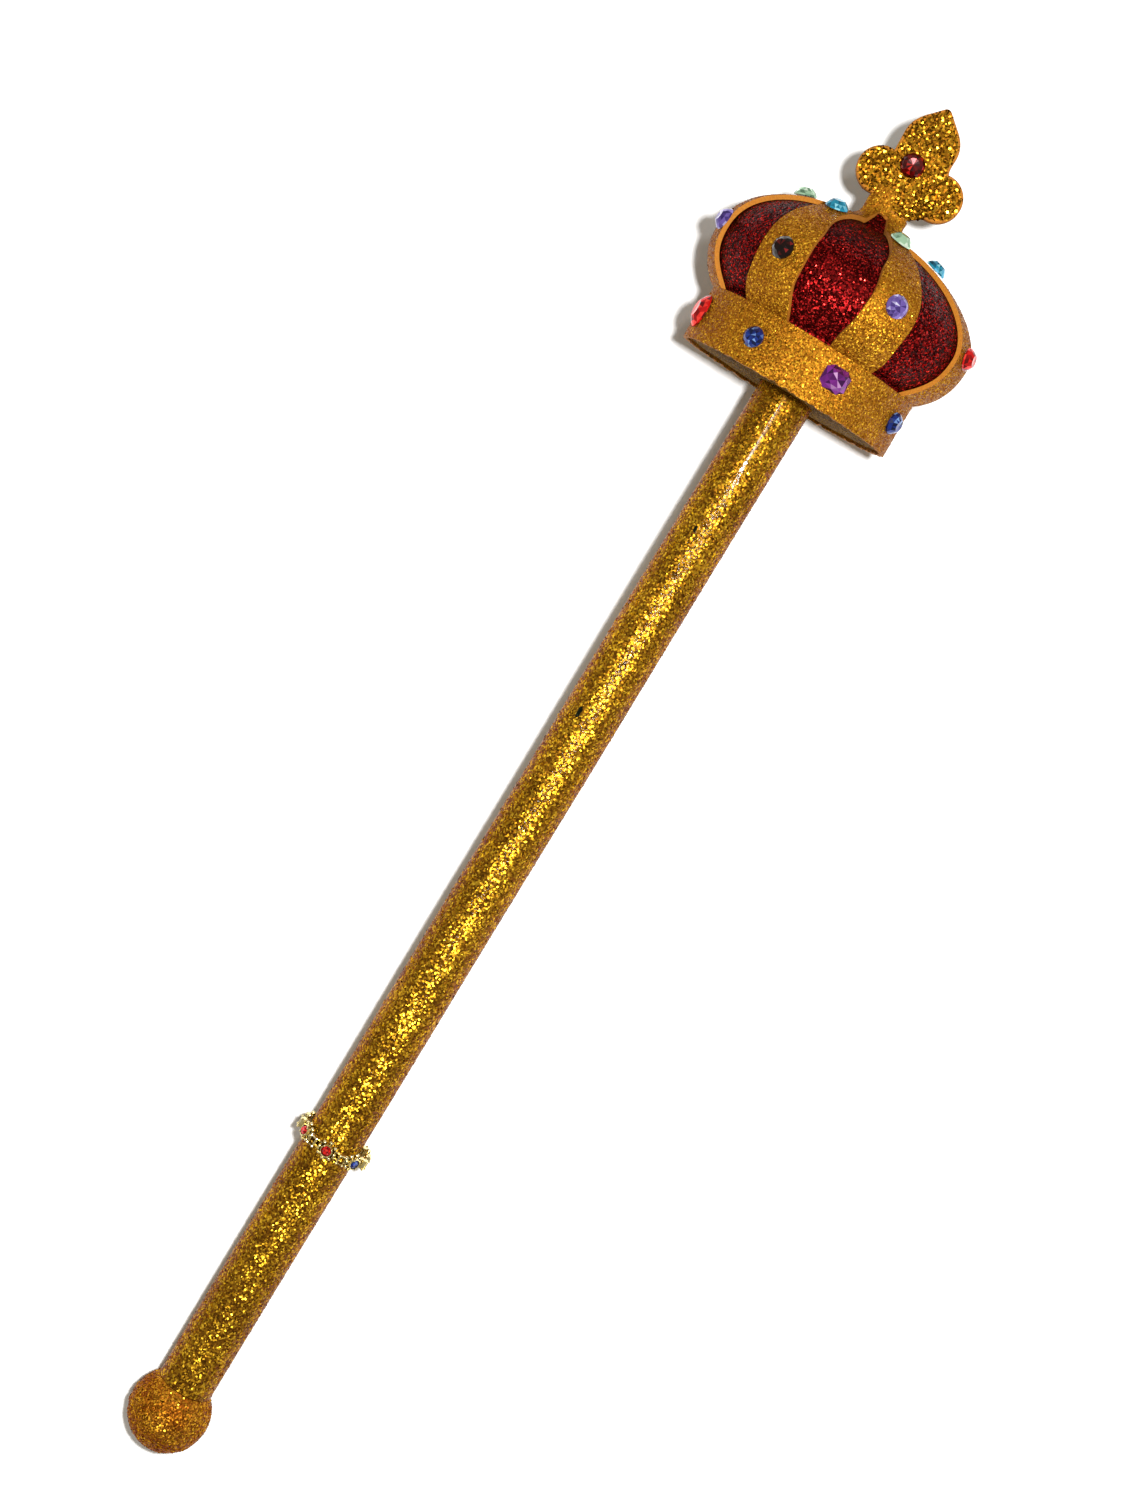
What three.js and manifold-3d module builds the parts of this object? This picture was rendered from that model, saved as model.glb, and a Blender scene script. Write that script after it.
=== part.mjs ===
// A costume sceptre lying on its side: a glitter-covered tube with a ball at the foot, a chain of
// jewelled links round it and a crown of craft foam with a flat trefoil finial.
// Millimetres, +Z up, crown towards +X. It lies on the ball and on the crown's lowest rib.
import * as THREE from "three";
import { mergeVertices } from "three/addons/utils/BufferGeometryUtils.js";
import Module from "manifold-3d";

const manifold = await Module();
manifold.setup();

// Staff: x = 0 at the ball's centre.
const tubeRadius = 10.5;
const ballRadius = 15.35;
const ballFlatDepth = 0.5; // how much of the ball its flat spot takes
const jointGap = 0.3; // left between pieces that touch
const crownFoot = 429; // where the crown's lower rim sits on the tube
const tubeInCrown = 24; // how far the tube runs up inside the crown

// Crown: heights are measured from its lower rim, radii from its centre line.
const rimRadius = 41.2;
const bandRadius = 40.8;
const bandHeight = 19.8;
const domeRadius = 50.8;
const domeMiddle = 38.8; // height of the widest place
const domeRise = 28; // widest place up to the crest
const domeDrop = 29; // the same curve's reach below the widest place
const dropPower = 2.25; // a little fuller than an ellipse below, a plain ellipse above
const risePower = 2;
const neckRadius = 7.9;
const neckFillet = 6.1;
const neckTop = 78.5;
const foamThickness = 2;
const crownNod = 2; // degrees that the crown stands off the tube's line
const crownLean = [0.8, 3.3]; // sideways drift at the band and at the neck
const domeFlatDepth = 0.7;
const ribAngles = [-80.5, -30, 19, 71, 124, 178, 227.5]; // hand-spaced, degrees from the top
const ribWidth = 20.5; // degrees
const frontPanel = 1; // the panel after this rib runs up the neck as a tongue
const roundSteps = 36;
const innerSteps = 4;

// Finial: a flat trefoil cut from thick foam, its tang let into the neck.
const finialFoot = 72; // height of the finial's own zero above the crown's rim
const finialThickness = 5;
const tangFoot = 73; // where its tang ends inside the neck

// Chain round the tube.
const chainPlace = [117.2, -0.5, -0.6]; // it hangs a little loose
const chainTilt = [5, 2.5]; // degrees that its top leans to the ball, its left to the crown
const chainInner = 11.7;
const chainSettings = 7;
const chainStart = -3; // degrees, first setting
const settingRadius = 3.5;

const gold = { color: 0x9a6a12, roughness: 0.45, metalness: 0.5 };
const foamGold = { color: 0xb4741a, roughness: 0.6, metalness: 0.3 };
const redGlitter = { color: 0x5a1013, roughness: 0.5, metalness: 0.3 };
const metalGold = { color: 0xd8b65a, roughness: 0.3, metalness: 1 };
const gemColours = {
  red: 0xc01822,
  garnet: 0x16080a,
  blue: 0x14267c,
  violet: 0x7a5cc0,
  amethyst: 0x8a2a90,
  teal: 0x0f84a8,
  green: 0x9ac8a4,
};

const radians = THREE.MathUtils.degToRad;
const { sin, cos, asin, acos, tan, PI } = Math;

// ---- solids: closed meshes joined and cut ----

function asSolid(geometry) {
  const bare = geometry.clone().deleteAttribute("normal").deleteAttribute("uv");
  const merged = mergeVertices(bare, 1e-4);
  return new manifold.Manifold(
    new manifold.Mesh({
      numProp: 3,
      vertProperties: merged.attributes.position.array,
      triVerts: new Uint32Array(merged.index.array),
    }),
  );
}

function asGeometry(solid) {
  const mesh = solid.getMesh();
  const geometry = new THREE.BufferGeometry();
  const positions = new Float32Array(mesh.vertProperties);
  geometry.setAttribute("position", new THREE.BufferAttribute(positions, 3));
  geometry.setIndex(new THREE.BufferAttribute(mesh.triVerts, 1));
  geometry.computeVertexNormals();
  return geometry;
}

function cutAway(geometry, cutters) {
  const cut = cutters.reduce((solid, c) => solid.subtract(asSolid(c)), asSolid(geometry));
  return asGeometry(cut);
}

function join(geometries) {
  return asGeometry(geometries.map(asSolid).reduce((a, b) => a.add(b)));
}

// Moves every corner of a geometry by a function of its place.
function reshape(geometry, move) {
  const positions = geometry.attributes.position;
  const point = new THREE.Vector3();
  for (let i = 0; i < positions.count; i++) {
    point.fromBufferAttribute(positions, i);
    move(point);
    positions.setXYZ(i, point.x, point.y, point.z);
  }
  return geometry;
}

// A profile of (radius, height) pairs turned round the X axis.
function turned(profile, steps = roundSteps) {
  const points = profile.map(([radius, height]) => new THREE.Vector2(radius, height));
  return new THREE.LatheGeometry(points, steps).rotateZ(-PI / 2);
}

function rodAlongX(radius, from, to, steps = roundSteps) {
  const rod = new THREE.CylinderGeometry(radius, radius, to - from, steps);
  return rod.rotateZ(-PI / 2).translate((from + to) / 2, 0, 0);
}

function piece(name, geometry, finish) {
  const mesh = new THREE.Mesh(geometry, new THREE.MeshStandardMaterial(finish));
  mesh.name = name;
  return mesh;
}

// ---- the crown's curve ----

// Points from the rim to the neck, all drawn in by the same inset.
function crownCurve(inset, neckEnd, domeSteps) {
  const radius = domeRadius - inset;
  const curve = [];
  // One quarter of a superellipse, from the widest place to where it meets endRadius.
  const quarter = (endRadius, reach, power, steps) => {
    const end = acos((endRadius / radius) ** (power / 2));
    return Array.from({ length: steps + 1 }, (_, i) => {
      const t = (end * i) / steps;
      return [radius * cos(t) ** (2 / power), domeMiddle + reach * sin(t) ** (2 / power)];
    });
  };
  const below = quarter(bandRadius - inset, inset - domeDrop, dropPower, domeSteps);
  const crestRadius = neckRadius + neckFillet;
  curve.push(...below.reverse());
  curve.push(...quarter(crestRadius, domeRise - inset, risePower, domeSteps + 2).slice(1));
  const [filletStart, crest] = curve[curve.length - 1];
  const reach = filletStart - (neckRadius - inset);
  for (let i = 1; i <= 4; i++) {
    const turn = (PI / 2) * (i / 4);
    curve.push([filletStart - reach * sin(turn), crest + reach * (1 - cos(turn))]);
  }
  curve.push([neckRadius - inset, neckEnd]);
  return curve;
}

const outerCurve = crownCurve(0, neckTop - 4, 7);

// Radius and slope of the crown's outer skin at a height.
function skinAt(height) {
  if (height < bandHeight) return { radius: bandRadius, slope: 0 };
  const after = outerCurve.findIndex(([, h]) => h > height);
  const [r0, h0] = outerCurve[after - 1];
  const [r1, h1] = outerCurve[after];
  const slope = (r1 - r0) / (h1 - h0);
  return { radius: r0 + slope * (height - h0), slope };
}

// The crown drifts to its left, +Y, from the band to the neck.
function leanAt(height) {
  const [atBand, atNeck] = crownLean;
  return THREE.MathUtils.lerp(
    atBand,
    atNeck,
    THREE.MathUtils.smoothstep(height, domeMiddle, domeMiddle + domeRise + 4),
  );
}

const leaning = (geometry) => reshape(geometry, (p) => (p.y += leanAt(p.x)));

// ---- the crown's pieces ----

// Half the angle of the opening between two ribs: a little narrower at the band.
function panelOpening(height, halfAngle, tongue) {
  const atBand = 1 - THREE.MathUtils.smoothstep(height, bandHeight, bandHeight + 12);
  const atNeck = THREE.MathUtils.smoothstep(height, 57, 66);
  return halfAngle - 2.2 * atBand + (tongue ? 9.5 : 0) * atNeck;
}

// A wedge from the crown's middle outwards: what is cut out of the foam between two ribs.
function panelCutter(firstRib, secondRib, tongue) {
  const top = tongue ? 71.6 : 66.2;
  const innerReach = 2;
  const outerReach = domeRadius + 5;
  const halfAngle = (secondRib - firstRib - ribWidth) / 2;
  const wedge = new THREE.BoxGeometry(top - bandHeight, 1, 1, 8, 1, 1);
  wedge.translate((top + bandHeight) / 2, 0, 0.5);
  reshape(wedge, (p) => {
    const reach = innerReach + p.z * (outerReach - innerReach);
    p.y = 2 * p.y * reach * tan(radians(panelOpening(p.x, halfAngle, tongue)));
    p.z = reach;
  });
  return wedge.rotateX(radians((firstRib + secondRib) / 2));
}

// One foam piece: the band, the ribs that rise from it and the neck that they end in.
function foamFrame() {
  const inside = crownCurve(foamThickness, 72.3, innerSteps);
  const shell = turned([
    [0, 72.3],
    ...inside.reverse(),
    [rimRadius - foamThickness, 0],
    [rimRadius, 0],
    ...outerCurve,
    [neckRadius - 2.4, neckTop],
    [0, neckTop],
  ]);
  const panels = ribAngles.map((rib, i) => {
    const next = i + 1 < ribAngles.length ? ribAngles[i + 1] : ribAngles[0] + 360;
    return panelCutter(rib, next, i === frontPanel);
  });
  const slotFloor = tangFoot - jointGap;
  const slotHeight = neckTop + 5 - slotFloor;
  const slot = new THREE.BoxGeometry(slotHeight, 4 * neckRadius, finialThickness + 2 * jointGap);
  slot.translate(slotFloor + slotHeight / 2, 0, 0);
  return leaning(cutAway(shell, [...panels, slot]));
}

// The red dome that shows between the ribs.
function domeCore(tube) {
  const curve = crownCurve(foamThickness + jointGap, 72, innerSteps);
  const foot = baseThickness + baseRecess + jointGap;
  const core = turned([
    [0, foot],
    [curve[0][0], foot],
    ...curve,
    [0, 72],
  ]);
  return cutAway(leaning(core), [tube]);
}

const baseRecess = 1;
const baseThickness = 3;

// The disc that closes the crown from below, with the tube's hole.
function baseDisc(tube) {
  const radius = rimRadius - foamThickness - 2 * jointGap;
  const disc = rodAlongX(radius, baseRecess, baseRecess + baseThickness);
  return cutAway(leaning(disc), [tube]);
}

// Trefoil outline: one pointed petal over two round lobes, cut by hand and so not quite even.
function finialOutline() {
  const outline = new THREE.Shape();
  outline.moveTo(7.6, tangFoot - finialFoot);
  outline.lineTo(7.6, 8.6);
  outline.bezierCurveTo(7.8, 10.4, 10.6, 10.4, 11.2, 8);
  outline.lineTo(12.2, 5.36);
  outline.absarc(13.1, 13.9, 8.6, radians(-96), radians(98), false);
  outline.bezierCurveTo(11.1, 24.5, 11.4, 26, 11.4, 28);
  outline.bezierCurveTo(11.3, 32.5, 9, 35, 6.2, 37.2);
  outline.lineTo(1.4, 41.2);
  outline.quadraticCurveTo(0.3, 41.9, -0.8, 41.2);
  outline.lineTo(-5.4, 36.4);
  outline.bezierCurveTo(-8.2, 33.4, -9.2, 31, -9.2, 27.5);
  outline.lineTo(-8.9, 20.4);
  outline.absarc(-9.6, 12, 8.4, radians(85), radians(281.7), false);
  outline.lineTo(-7.8, tangFoot - finialFoot);
  return outline;
}

function finial() {
  const options = { depth: finialThickness, bevelEnabled: false, curveSegments: 10 };
  const plate = new THREE.ExtrudeGeometry(finialOutline(), options);
  plate.translate(0, 0, -finialThickness / 2);
  reshape(plate, (p) => p.set(p.y + finialFoot, crownLean[1] - p.x, p.z));
  return plate;
}

// ---- gems: flat-backed, with a raised table ----

function gemGeometry(length, width, sides, height) {
  const girdle = height * 0.22;
  const profile = [
    [0, 0],
    [0.5, 0],
    [0.5, girdle],
    [0.29, height],
    [0, height],
  ];
  const points = profile.map(([radius, z]) => new THREE.Vector2(radius, z));
  const cut = new THREE.LatheGeometry(points, sides).rotateX(PI / 2).rotateZ(PI / sides);
  return cut.scale(length, width, 1);
}

// Turns a gem's flat back towards the centre line at an angle and a height.
function seatGem(mesh, angle, height, radius, slope, lean) {
  const a = radians(angle);
  mesh.rotation.set(a, Math.atan2(-slope, 1), 0);
  mesh.position.set(height, lean - radius * sin(a), radius * cos(a));
  return mesh;
}

function crownGem(name, colour, angle, height, [length, width, sides] = [8.2, 8.2, 10]) {
  const { radius, slope } = skinAt(height);
  const finish = { color: gemColours[colour], roughness: 0.1, metalness: 0 };
  const gem = piece(name, gemGeometry(length, width, sides, 3), finish);
  const outOfSkin = jointGap + 0.05;
  const outward = outOfSkin / cos(Math.atan(slope));
  return seatGem(gem, angle, height, radius + outward, slope, leanAt(height));
}

const bandGems = [
  ["navette_red", "red", -71, 9.8, [12.4, 9, 6]],
  ["blue", "blue", -27, 9.6, [7.6, 7.6, 10]],
  ["octagon_amethyst", "amethyst", 17, 11.4, [8.6, 10, 8]],
  ["blue_right", "blue", 64, 10.6],
  ["red_back", "red", 122, 10.2],
  ["violet_under", "violet", 174, 10.4],
  ["blue_back", "blue", 228, 10],
];
const ribGems = [
  ["violet", -72, 40.4],
  ["garnet", -30, 39.2],
  ["violet", 19.5, 41.5],
  ["red", 69, 42],
  ["blue", 124, 41],
  null, // it lies on this rib, which carries no gem
  ["garnet", 227.5, 41],
];
const shoulderGems = [
  ["green", -80.5, 62.6],
  ["teal", -32, 62],
  ["green", 21, 63.4],
  ["teal", 70, 63.2],
  ["green", 124, 63],
  ["teal", 178, 63],
  ["teal", 227.5, 63],
];

function crownGems() {
  const gems = bandGems.map(([name, ...place]) => crownGem("band_gem_" + name, ...place));
  ribGems.forEach((place, i) => {
    if (place) gems.push(crownGem("rib_gem_" + (i + 1), ...place));
  });
  shoulderGems.forEach((place, i) => {
    gems.push(crownGem("shoulder_gem_" + (i + 1), ...place));
  });
  return gems;
}

function finialGem() {
  const finish = { color: gemColours.red, roughness: 0.1, metalness: 0 };
  const gem = piece("finial_gem", gemGeometry(8.8, 8.8, 10, 3), finish);
  gem.position.set(finialFoot + 18.6, crownLean[1] + 0.6, finialThickness / 2 + jointGap);
  return gem;
}

// ---- the chain ----

// A flower-edged plate with a stone cup, lying in the plane Z = 0 with its face to +Z.
function chainSetting() {
  const lobes = 8;
  const outline = new THREE.Shape();
  for (let i = 0; i < lobes * 2; i++) {
    const turn = (2 * PI * i) / (lobes * 2);
    const reach = settingRadius + 0.3 * cos(lobes * turn);
    outline[i ? "lineTo" : "moveTo"](reach * cos(turn), reach * sin(turn));
  }
  const plate = new THREE.ExtrudeGeometry(outline, { depth: 1.6, bevelEnabled: false });
  const cup = new THREE.CylinderGeometry(2.3, 2.6, 2.4, 8).rotateX(PI / 2).translate(0, 0, 1.2);
  return join([plate, cup]);
}

// A square box link with two bars that reach into the settings beside it.
function chainLink() {
  const box = new THREE.BoxGeometry(3.6, 2.9, 3.2).translate(0, 0, 1.6);
  const bars = [-1.5, 1.5].map((x) => new THREE.BoxGeometry(1, 5.4, 1).translate(x, 0, 0.7));
  return join([box, ...bars]);
}

const chainPitch = 360 / chainSettings;

function aroundTube(geometry, angle) {
  return geometry.clone().translate(0, 0, chainInner).rotateX(radians(angle));
}

function chain() {
  const setting = chainSetting();
  const link = chainLink();
  const pieces = [];
  for (let i = 0; i < chainSettings; i++) {
    const angle = chainStart + i * chainPitch;
    pieces.push(aroundTube(setting, angle), aroundTube(link, angle + chainPitch / 2));
  }
  return join(pieces);
}

function chainStone(i) {
  const colour = ["red", "blue", "garnet"][i % 3];
  const finish = { color: gemColours[colour], roughness: 0.1, metalness: 0 };
  const stone = piece("chain_stone_" + (i + 1), gemGeometry(4.2, 4.2, 8, 1.4), finish);
  const seat = chainInner + 2.4 + jointGap;
  return seatGem(stone, chainStart + i * chainPitch, 0, seat, 0, 0);
}

// ---- assembly ----

// The staff's line climbs from the ball to the crown so that both touch the floor.
const lift = domeRadius - domeFlatDepth - (ballRadius - ballFlatDepth);
const nodRise = domeMiddle * sin(radians(crownNod));
const climb = asin((lift - nodRise) / (crownFoot + domeMiddle));

const sceptre = new THREE.Group();
const laid = new THREE.Group();
laid.rotation.y = -climb;
laid.position.z = ballRadius - ballFlatDepth;
sceptre.add(laid);

const neckOfBall = Math.sqrt(ballRadius ** 2 - tubeRadius ** 2);
const sphere = new THREE.SphereGeometry(ballRadius, 28, 14).rotateZ(PI / 2);
const aboveBall = new THREE.BoxGeometry(10, 40, 40).translate(neckOfBall + 5, 0, 0);
const ball = piece("pommel_ball", cutAway(sphere, [aboveBall]), gold);
const tubeStart = neckOfBall + jointGap;
const tubeEnd = crownFoot + tubeInCrown;
const tube = piece("staff_tube", rodAlongX(tubeRadius, tubeStart, tubeEnd), gold);
const bracelet = new THREE.Group();
bracelet.position.set(...chainPlace);
bracelet.rotation.set(0, -radians(chainTilt[0]), -radians(chainTilt[1]));
bracelet.add(piece("chain_ring", chain(), metalGold));
for (let i = 0; i < chainSettings; i++) bracelet.add(chainStone(i));
laid.add(ball, tube, bracelet);

const crown = new THREE.Group();
crown.position.x = crownFoot;
crown.rotation.y = -radians(crownNod);
laid.add(crown);
laid.updateMatrixWorld(true);

// The tube's hole as the crown sees it.
const tubeHole = rodAlongX(tubeRadius + jointGap, tubeStart, tubeEnd + jointGap);
tubeHole.applyMatrix4(crown.matrix.clone().invert());
const frame = piece("crown_foam_frame", foamFrame(), foamGold);
crown.add(
  frame,
  piece("dome_core", domeCore(tubeHole), redGlitter),
  piece("crown_base_disc", baseDisc(tubeHole), foamGold),
  piece("trefoil_finial", finial(), foamGold),
  finialGem(),
  ...crownGems(),
);

// Takes off what reaches below the floor, which leaves a flat spot.
function flatten(mesh) {
  sceptre.updateMatrixWorld(true);
  const below = new THREE.BoxGeometry(1200, 200, 20).translate(300, 0, -10);
  below.applyMatrix4(mesh.matrixWorld.clone().invert());
  mesh.geometry = cutAway(mesh.geometry, [below]);
}

flatten(ball);
flatten(frame);

// The origin is under the middle of the whole.
sceptre.updateMatrixWorld(true);
const middle = new THREE.Box3().setFromObject(sceptre, true).getCenter(new THREE.Vector3());
sceptre.position.set(-middle.x, -middle.y, 0);

export default sceptre;
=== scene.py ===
# A costume sceptre lying on its side: a tube in glitter film with a glittered ball, a chain of
# jewelled links and a crown of glitter foam with a trefoil finial.
# Metres in the scene, millimetres in the dictionaries. +X runs to the crown, +Z is up.
import math

import bpy
import numpy as np
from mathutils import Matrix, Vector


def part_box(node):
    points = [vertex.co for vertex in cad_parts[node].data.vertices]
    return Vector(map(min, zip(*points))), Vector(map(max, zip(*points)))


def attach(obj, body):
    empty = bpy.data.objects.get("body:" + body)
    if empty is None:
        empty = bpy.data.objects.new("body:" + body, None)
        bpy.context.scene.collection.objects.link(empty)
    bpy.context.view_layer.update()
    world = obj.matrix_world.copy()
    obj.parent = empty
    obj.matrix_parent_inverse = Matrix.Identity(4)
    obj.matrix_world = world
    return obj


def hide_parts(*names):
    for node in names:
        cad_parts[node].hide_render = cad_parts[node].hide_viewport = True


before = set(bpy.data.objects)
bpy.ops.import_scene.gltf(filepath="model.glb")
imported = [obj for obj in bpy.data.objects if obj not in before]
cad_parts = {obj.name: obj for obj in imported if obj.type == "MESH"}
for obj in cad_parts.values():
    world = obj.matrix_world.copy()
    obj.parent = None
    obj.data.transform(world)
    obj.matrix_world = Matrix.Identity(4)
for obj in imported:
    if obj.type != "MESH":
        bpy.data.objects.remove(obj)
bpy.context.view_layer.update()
millimetre = 0.001

staff = {
    "tubeRadius": 10.5,
    "ballRadius": 15.35,
    "ballFlat": 0.5,  # taken off the ball where it lies
    "jointGap": 0.3,
    "crownFoot": 429,  # lower rim of the crown, from the ball's centre
    "tubeInCrown": 24,
}
crown = {
    "rimRadius": 41.2,
    "bandRadius": 40.8,
    "bandHeight": 19.8,
    "domeRadius": 50.8,
    "domeMiddle": 38.8,
    "domeRise": 28,
    "domeDrop": 29,
    "dropPower": 2.25,
    "risePower": 2,
    "neckRadius": 7.9,
    "neckFillet": 6.1,
    "neckStraight": 74.5,
    "neckHalf": (8.3, 3.9),  # half width and half depth where it wraps the tang
    "neckBlend": (66.5, 73),  # heights between which it turns from round to oblong
    "neckEnds": (73.2, 80),  # it ends lower on the right than on the left
    "neckSlant": (-0.35, 0.3),  # where across it, as a sine, the slant starts and ends
    "neckLast": 71,  # the slant stretches what is above this height
    "curveSteps": (160, 240, 40),  # below the widest place, above it, and in the neck's fillet
    "nod": 2,  # degrees off the tube's line
    "lean": (0.8, 3.3),  # sideways drift at the band and at the neck
    "flat": 0.7,  # taken off the rib that it lies on
    "foam": 1.7,  # thickness of the foam sheet
    "ribs": (-80.5, -30, 19, 71, 124, 178, 227.5),  # degrees from the top
    "ribWidth": 20.5,
    "frontPanel": 1,  # the panel after this rib runs up the neck
    "narrowing": (2.2, 12),  # degrees that an opening loses at the band, and over what height
    "spread": ((3.2, 50, 60), (6.3, 64, 69)),  # degrees gained by the front one, from and to
    "panelTop": 66.2,
    "tongueTop": 71,
}


def turnAbout(axis, degrees):
    # Rotation matrix about one axis, right-handed.
    c, s = math.cos(math.radians(degrees)), math.sin(math.radians(degrees))
    i, j = {"x": (1, 2), "y": (2, 0), "z": (0, 1)}[axis]
    matrix = np.eye(3)
    matrix[i, i] = matrix[j, j] = c
    matrix[i, j], matrix[j, i] = -s, s
    return matrix


def carried(points, *places):
    # Each place is a rotation and a shift; the innermost comes first.
    for rotation, shift in places:
        points = points @ rotation.T + shift
    return points


def onStaff(points):
    # Back from the scene's frame to the staff's own axes.
    return (points - staffPlace[1]) @ staffPlace[0]


nodRise = crown["domeMiddle"] * math.sin(math.radians(crown["nod"]))
lift = crown["domeRadius"] - crown["flat"] - staff["ballRadius"] + staff["ballFlat"]
climb = math.degrees(math.asin((lift - nodRise) / (staff["crownFoot"] + crown["domeMiddle"])))
ballNeck = math.sqrt(staff["ballRadius"] ** 2 - staff["tubeRadius"] ** 2)
tubeStart = ballNeck + staff["jointGap"]
tubeEnd = staff["crownFoot"] + staff["tubeInCrown"]

staffTurn = turnAbout("y", -climb)
tubeLow, tubeHigh = (np.array(corner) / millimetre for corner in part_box("staff_tube"))
tubeMiddle = (tubeLow + tubeHigh) / 2
staffPlace = (staffTurn, tubeMiddle - staffTurn @ [(tubeStart + tubeEnd) / 2, 0, 0])
crownPlace = (turnAbout("y", -crown["nod"]), np.array([staff["crownFoot"], 0, 0]))


def smoothStep(x, low, high):
    # From 0 at low to 1 at high: three times the square less twice the cube.
    t = np.clip((x - low) / (high - low), 0, 1)
    return t * t * (3 - 2 * t)


def wobble(across, along, seed, size, finest=0.9, waves=7):
    # A sum of seeded sine waves over two lengths, one to six times the finest pitch long.
    rng = np.random.default_rng(seed)
    total = 0
    for _ in range(waves):
        pitch = rng.uniform(finest, 6 * finest)
        heading, phase = rng.uniform(0, 2 * math.pi, 2)
        reach = across * math.cos(heading) + along * math.sin(heading)
        total = total + np.sin(2 * math.pi * reach / pitch + phase)
    return size * total / math.sqrt(waves)


def newMesh(name, points, faces, smooth=True, sharp=None):
    # Points are in millimetres in the scene's frame; edges past the sharp angle stay crisp.
    mesh = bpy.data.meshes.new(name)
    mesh.from_pydata((np.asarray(points) * millimetre).tolist(), [], faces)
    mesh.update()
    mesh.polygons.foreach_set("use_smooth", np.full(len(mesh.polygons), smooth))
    if sharp:
        mesh.set_sharp_from_angle(angle=math.radians(sharp))
    return mesh


def gridFaces(rows, columns, loop=False):
    # Quads of a grid whose columns close round; with loop its rows close too.
    row = np.arange(rows if loop else rows - 1)[:, None] + 0 * np.arange(columns)
    column = 0 * row + np.arange(columns)
    after, below = (column + 1) % columns, (row + 1) % rows
    quads = [row * columns + column, row * columns + after]
    quads += [below * columns + after, below * columns + column]
    return np.stack(quads, -1).reshape(-1, 4)


def poleFaces(ring, pole, atStart):
    # A fan from one point to a ring of corners.
    around = np.stack([np.full(len(ring), pole), ring, np.roll(ring, -1)], -1)
    return around[:, [0, 2, 1]] if atStart else around


def cappedFaces(rows, columns):
    # Quads of a grid and a fan at each end, to two poles that follow its points.
    count = rows * columns
    around = np.arange(columns)
    faces = gridFaces(rows, columns).tolist()
    faces += poleFaces(around, count, True).tolist()
    faces += poleFaces(count - columns + around, count + 1, False).tolist()
    return faces


def cappedSurface(name, grid, sharp):
    # Rows of points along a profile, closed by a pole in the middle of each end row.
    points = np.concatenate([grid.reshape(-1, 3), grid[:1].mean(1), grid[-1:].mean(1)])
    return newMesh(name, points, cappedFaces(*grid.shape[:2]), sharp=sharp)


def anglesOf(columns):
    # Even steps round, in degrees, as one row.
    return np.linspace(0, 360, columns, endpoint=False)[None]


def ringOf(radius, along, angles):
    # A ring round the X axis; angle 0 is up and turns to -Y.
    a = np.radians(angles)
    radius, along, a = np.broadcast_arrays(radius, along, a)
    return np.stack([along, -radius * np.sin(a), radius * np.cos(a)], -1)


def putIn(mesh, slot, materials, *replaced):
    # Every piece rides on the one body, and the parts it stands in for are hidden.
    piece = bpy.data.objects.new(mesh.name, mesh)
    bpy.context.scene.collection.objects.link(piece)
    for material in materials:
        mesh.materials.append(material)
    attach(piece, "root")
    if replaced:
        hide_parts(*replaced)
    return piece


def cornersOf(mesh):
    # The three corners of every triangle, in millimetres.
    mesh.calc_loop_triangles()
    corners = np.empty(len(mesh.loop_triangles) * 3, np.int32)
    mesh.loop_triangles.foreach_get("vertices", corners)
    points = np.empty(len(mesh.vertices) * 3)
    mesh.vertices.foreach_get("co", points)
    return points.reshape(-1, 3)[corners.reshape(-1, 3)] / millimetre


def scatterOn(mesh, count, rng):
    # Places spread evenly by area, with the face's outward direction.
    a, b, c = np.moveaxis(cornersOf(mesh), 1, 0)
    outward = np.cross(b - a, c - a)
    area = np.linalg.norm(outward, axis=1)
    chosen = rng.choice(len(area), count, p=area / area.sum())
    u, v = rng.random((2, count))
    u, v = np.where(u + v > 1, 1 - u, u), np.where(u + v > 1, 1 - v, v)
    origin = a[chosen]
    spots = origin + u[:, None] * (b[chosen] - origin) + v[:, None] * (c[chosen] - origin)
    return spots, outward[chosen] / area[chosen, None]


flakeShape = {
    "root": 0.35,  # depth of its point below the surface, as a share of its reach
    "lowest": 0.02,  # no corner comes closer to the floor
    "floorRoom": 0.5,  # no flake starts closer to the floor
}


def flakeMesh(name, spots, outward, piece, rng):
    # Six-sided flakes lying almost flat: a hexagon on top, drawn to a point below the surface.
    count = len(spots)
    lean = outward + rng.normal(0, math.tan(math.radians(piece["flakeTilt"])), (count, 3))
    lean /= np.linalg.norm(lean, axis=1)[:, None]
    side = np.cross(lean, rng.normal(size=(count, 3)))
    side /= np.linalg.norm(side, axis=1)[:, None]
    other = np.cross(lean, side)
    reach = rng.uniform(*piece["flakeSize"], count)[:, None, None] / 2
    turn = np.arange(6) * math.pi / 3
    rim = reach * (np.cos(turn)[:, None] * side[:, None] + np.sin(turn)[:, None] * other[:, None])
    top = spots[:, None] + piece["flakeRise"] * outward[:, None] + rim
    root = (spots - flakeShape["root"] * reach[:, 0] * outward)[:, None]
    points = np.concatenate([top, root], 1)
    cap = [(0, 1, 2), (0, 2, 3), (0, 3, 4), (0, 4, 5)]
    sides = [(6, (i + 1) % 6, i) for i in range(6)]
    pattern = np.array(cap + sides)
    faces = (np.arange(count)[:, None, None] * 7 + pattern).reshape(-1, 3)
    points[..., 2] = np.maximum(points[..., 2], flakeShape["lowest"])
    mesh = newMesh(name, points.reshape(-1, 3), faces.tolist(), smooth=False)
    tone = mesh.attributes.new("flakeTone", "FLOAT", "POINT")
    tone.data.foreach_set("value", np.repeat(rng.random(count), 7).astype(np.float32))
    return mesh


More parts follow.
